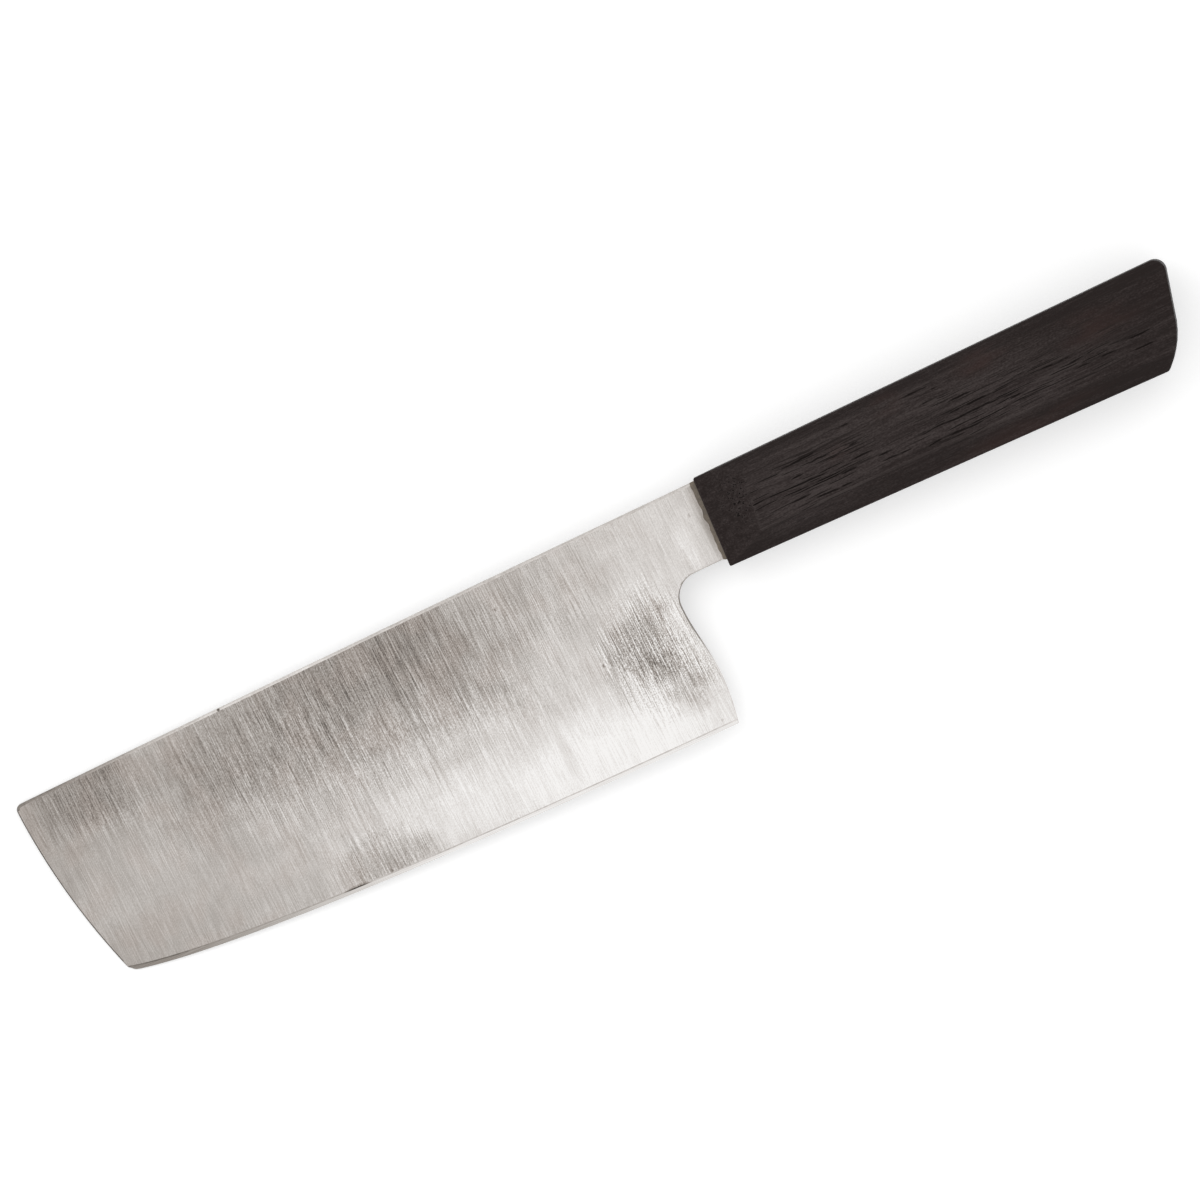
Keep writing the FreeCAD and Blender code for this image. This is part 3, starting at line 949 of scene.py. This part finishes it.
def drawTang(bm):
    # part of the neck's end face, stepped in a little, then drawn out and tapered
    spec = bladeSpec
    drop, (rootHeight, endHeight) = spec["tangDrop"], spec["tangHeights"]
    behind, near = 0.9, -1.5
    root = [f for f in bm.faces if f.normal.x > behind and f.calc_center_median().x > near
            and abs(f.calc_center_median().y + drop) < rootHeight / 2]
    bmesh.ops.inset_region(bm, faces=root, thickness=spec["tangStep"], use_even_offset=True)
    rim = {v for f in root for v in f.verts}
    halfRoot = max(abs(v.co.y + drop) for v in rim)
    for v in rim:
        v.co.y = -drop + (v.co.y + drop) * rootHeight / 2 / halfRoot
        v.co.z = math.copysign(spec["tangThick"] / 2, v.co.z)
    made = bmesh.ops.extrude_face_region(bm, geom=root)["geom"]
    bmesh.ops.delete(bm, geom=root, context="FACES_ONLY")
    for v in [g for g in made if isinstance(g, bmesh.types.BMVert)]:
        v.co.x = spec["tangLength"]
        v.co.y = -drop + (v.co.y + drop) * endHeight / rootHeight


def finishSteel(bm):
    spec = bladeSpec
    brush = bm.loops.layers.uv.new("brush")
    for face in bm.faces:
        face.smooth = True
        middle = face.calc_center_median()
        above = middle.y - edgeY(middle.x)
        gap = rimGap(*middle.xy, spec["tipRound"])
        if abs(face.normal.z) < spec["outlineLean"] or gap < easeAt(*middle.xy):
            face.material_index = 1
        elif above < spec["bevelHeight"]:
            face.material_index = 2
        # the painted shadow line above the bevel takes the outline's finish
        elif above < spec["bevelHeight"] + spec["shoulderShadeLine"]:
            face.material_index = 1
        for loop in face.loops:
            loop[brush].uv = loop.vert.co.xy / spec["brushUnit"]
    for e in bm.edges:
        finishes = {f.material_index for f in e.link_faces}
        e.smooth = len(finishes) == 1 and e.calc_face_angle(0) < math.radians(spec["sharpFrom"])


def buildBlade():
    bm = bmesh.new()
    bladeSide(bm)
    bmesh.ops.mirror(bm, geom=bm.verts[:] + bm.edges[:] + bm.faces[:], merge_dist=-1, axis="Z")
    bmesh.ops.bridge_loops(bm, edges=[e for e in bm.edges if e.is_boundary])
    bmesh.ops.recalc_face_normals(bm, faces=bm.faces[:])
    drawTang(bm)
    bmesh.ops.recalc_face_normals(bm, faces=bm.faces[:])
    finishSteel(bm)
    return toPiece(bm, "blade_ground", steelMaterial(), outlineMaterial(), bevelMaterial())


# filler: the brown-grey bead that closes the mouth of the handle
beadSpec = {
    "reach": (1.25, 0.90),   # along the steel at the spine and at the edge side
    "rise": 0.8,
    "cap": (0.06, 0.35),     # past the spine, where it is flush, and past the edge side
    "swelling": (0.45, 0.75, 0.78),  # share of the reach, cap and rise where it is fullest
    "lip": 0.05,
    "grip": 0.1,             # how deep it sits on the steel
    "uneven": (0.42, 0.5),   # how much and how often its line wanders
    "cuts": (40, 5),         # along the neck and across it
    "merge": 0.005,
    "tones": [(0.30, (0.080, 0.066, 0.052)), (0.62, (0.205, 0.168, 0.130))],
    "gritSize": (0.6, 0.6, 0.6),
    "stainSize": (3.0, 4.5, 3.0),
    "roughness": (0.55, 0.8),
    "relief": (0.5, 0.1),
}


def fillerMaterial():
    spec = beadSpec
    material, tree, shader = newMaterial("cured_filler")
    coords = knifeCoords(tree)
    grit = stretched(tree, coords, spec["gritSize"], detail=4.0).outputs["Fac"]
    stain = stretched(tree, coords, spec["stainSize"]).outputs["Fac"]
    mixed = calc(tree, "MULTIPLY", calc(tree, "ADD", grit, stain), 0.5)
    tree.links.new(ramp(tree, mixed, spec["tones"]), shader.inputs["Base Color"])
    tree.links.new(fit(tree, grit, 0.3, 0.7, *spec["roughness"]), shader.inputs["Roughness"])
    relief(tree, shader, grit, *spec["relief"])
    return material


def buildBead(material):
    spec = beadSpec
    neck, half = bladeSpec["neckHeight"], bladeSpec["spineThick"] / 2
    above, below = spec["cap"]
    side = half + spec["rise"]
    bm = bmesh.new()
    corners = [(above, side), (above, -side), (-neck - below, -side), (-neck - below, side)]
    verts = [bm.verts.new((0, y, z)) for y, z in corners]
    ring = [bm.edges.new((verts[i], verts[i - 1])) for i in range(4)]
    alongCuts, acrossCuts = spec["cuts"]
    along = [e for e in ring if e.calc_length() > neck / 2]
    bmesh.ops.subdivide_edges(bm, edges=along, cuts=alongCuts)
    across = [e for e in bm.edges if e.calc_length() > half]
    bmesh.ops.subdivide_edges(bm, edges=across, cuts=acrossCuts)
    first = bm.edges[:]
    loop = first
    most, often = spec["uneven"]
    top, low = spec["reach"]
    lip, grip = spec["lip"], -spec["grip"]
    share, cap, rise = spec["swelling"]
    # out over a swelling, down to the lip on the steel, then back along the steel
    rings = [(share, above * cap, below * cap, spec["rise"] * rise), (1.0, lip, lip, lip),
             (0.0, grip, grip, grip)]
    for share, up, down, out in rings:
        made = bmesh.ops.extrude_edge_only(bm, edges=loop)["geom"]
        loop = [g for g in made if isinstance(g, bmesh.types.BMEdge)]
        for v in [g for g in made if isinstance(g, bmesh.types.BMVert)]:
            wander = 1 + most * noise.noise(Vector((v.co.y * often, v.co.z * 0.5, 2.0)))
            reach = top + (low - top) * -v.co.y / neck
            v.co.y = max(-neck - down, min(up, v.co.y))
            v.co.z = max(-half - out, min(half + out, v.co.z))
            v.co.x = -reach * share * wander
    bmesh.ops.bridge_loops(bm, edges=loop + first)
    for v in bm.verts:
        v.co.x += frontX(v.co.y)
    bmesh.ops.remove_doubles(bm, verts=bm.verts[:], dist=spec["merge"])
    bmesh.ops.recalc_face_normals(bm, faces=bm.faces[:])
    markSharp(bm)
    return toPiece(bm, "mouth_bead_worked", material)


filler = fillerMaterial()
blade = buildBlade()
print("blade", len(blade.data.polygons), "faces")
handle = buildHandle()
print("handle", len(handle.data.polygons), "faces")
bead = buildBead(filler)
print("bead", len(bead.data.polygons), "faces")
for piece, node, slot in ((blade, "blade", "steel"), (handle, "handle", "dark_wood"),
                          (bead, "mouth_bead", "filler")):
    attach(piece, "root")
    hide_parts(node)
bedding = frame["nodes"]["tang_bedding"]
bedding.data.materials.clear()
bedding.data.materials.append(filler)

# stage: white paper, a pale tent of light that is brightest overhead, and a camera straight above
stageSpec = {
    "floorSize": 6.0,
    "floorColour": (0.73, 0.73, 0.73),
    "floorRoughness": 0.9,
    "floorLift": 0.45,       # seen by the camera and by reflections, so that the paper is white
    "tent": (0.38, 1.12),    # strength at the horizon and overhead
    "tentRise": (0.1, 0.95),  # heights between which it changes
    "lampSize": 1.2,
    "lampPower": 3.5,
    "lampPlace": (-0.6, 0.8, 1.5),
}
cameraSpec = {
    "centre": (-32.6, -16.0),  # point of the knife that is in the middle of the picture
    "width": 286.96,           # of the picture, at the knife
    "turn": -25.5,
    "height": 8.0,
    "sight": 30.0,
}


def seenDirectly(tree):
    # by the camera, or in metal or glass
    path = put(tree, "LightPath")
    seen = calc(tree, "MAXIMUM", path.outputs["Is Camera Ray"], path.outputs["Is Glossy Ray"])
    return path, calc(tree, "MAXIMUM", seen, path.outputs["Is Transmission Ray"])


def buildFloor():
    spec = stageSpec
    bm = bmesh.new()
    bmesh.ops.create_grid(bm, x_segments=1, y_segments=1, size=spec["floorSize"] / 2)
    mesh = bpy.data.meshes.new("floor")
    bm.to_mesh(mesh)
    bm.free()
    floor = bpy.data.objects.new("floor", mesh)
    scene.collection.objects.link(floor)
    material, tree, shader = newMaterial("white_paper")
    shader.inputs["Base Color"].default_value = (*spec["floorColour"], 1)
    shader.inputs["Roughness"].default_value = spec["floorRoughness"]
    shader.inputs["Specular IOR Level"].default_value = 0.0
    shader.inputs["Emission Color"].default_value = (1, 1, 1, 1)
    path, seen = seenDirectly(tree)
    # not when light has already left the paper, which would thin the shadow
    seen = calc(tree, "MULTIPLY", seen, calc(tree, "LESS_THAN", path.outputs["Diffuse Depth"], 0.5))
    lift = calc(tree, "MULTIPLY", seen, spec["floorLift"])
    tree.links.new(lift, shader.inputs["Emission Strength"])
    mesh.materials.append(material)


def buildLight():
    spec = stageSpec
    world = bpy.data.worlds.new("tent")
    scene.world = world
    world.use_nodes = True
    tree = world.node_tree
    background = tree.nodes["Background"]
    background.inputs["Color"].default_value = (1, 1, 1, 1)
    way = put(tree, "TexCoord").outputs["Generated"]
    rise = put(tree, "SeparateXYZ", {"Vector": way}).outputs["Z"]
    strength = fit(tree, rise, *spec["tentRise"], *spec["tent"], "LINEAR")
    strength = fit(tree, seenDirectly(tree)[1], 0.0, 1.0, strength, 1.0, "LINEAR")
    tree.links.new(strength, background.inputs["Strength"])
    lamp = bpy.data.lights.new("soft_lamp", "AREA")
    lamp.shape = "DISK"
    lamp.size = spec["lampSize"]
    lamp.energy = spec["lampPower"]
    holder = bpy.data.objects.new("soft_lamp", lamp)
    holder.location = spec["lampPlace"]
    holder.rotation_euler = (-Vector(spec["lampPlace"])).to_track_quat("-Z", "Y").to_euler()
    scene.collection.objects.link(holder)


def buildCamera():
    spec = cameraSpec
    data = bpy.data.cameras.new("camera")
    camera = bpy.data.objects.new("camera", data)
    scene.collection.objects.link(camera)
    target = layDown @ (Vector((*spec["centre"], 0)) * mm)
    camera.location = (target.x, target.y, spec["height"])
    camera.rotation_euler = (0, 0, math.radians(spec["turn"]))
    data.lens = data.sensor_width * (spec["height"] - target.z) / (spec["width"] * mm)
    data.clip_end = spec["sight"]
    scene.camera = camera


buildFloor()
buildLight()
buildCamera()
print("stage, light and camera set")
